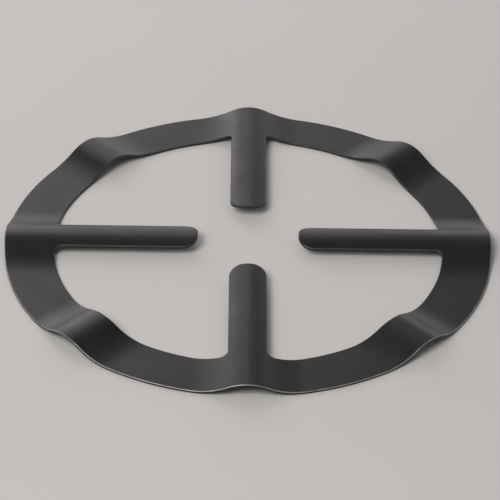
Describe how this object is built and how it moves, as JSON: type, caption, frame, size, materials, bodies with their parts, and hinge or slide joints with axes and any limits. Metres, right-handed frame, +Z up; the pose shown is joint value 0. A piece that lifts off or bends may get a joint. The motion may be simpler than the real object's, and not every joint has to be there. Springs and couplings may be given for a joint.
{
  "type": "gas hob reducer ring",
  "caption": "Flat round ring pressed from sheet steel, with raised radial ridges and inward tongues that carry a small pot over a large gas burner.",
  "frame": {"origin": "centre of the ring, on the plane that the undersides of its flats rest on", "axes": "+Z up, square to the ring; +X and +Y along two neighbouring tongues"},
  "size_m": [0.145, 0.145, 0.0044],
  "materials": {
    "black_coated_steel": "fine-grained satin black coating, thin at the cut edges"
  },
  "bodies": {
    "root": {"reducer_ring": "black_coated_steel"}
  },
  "joints": []
}
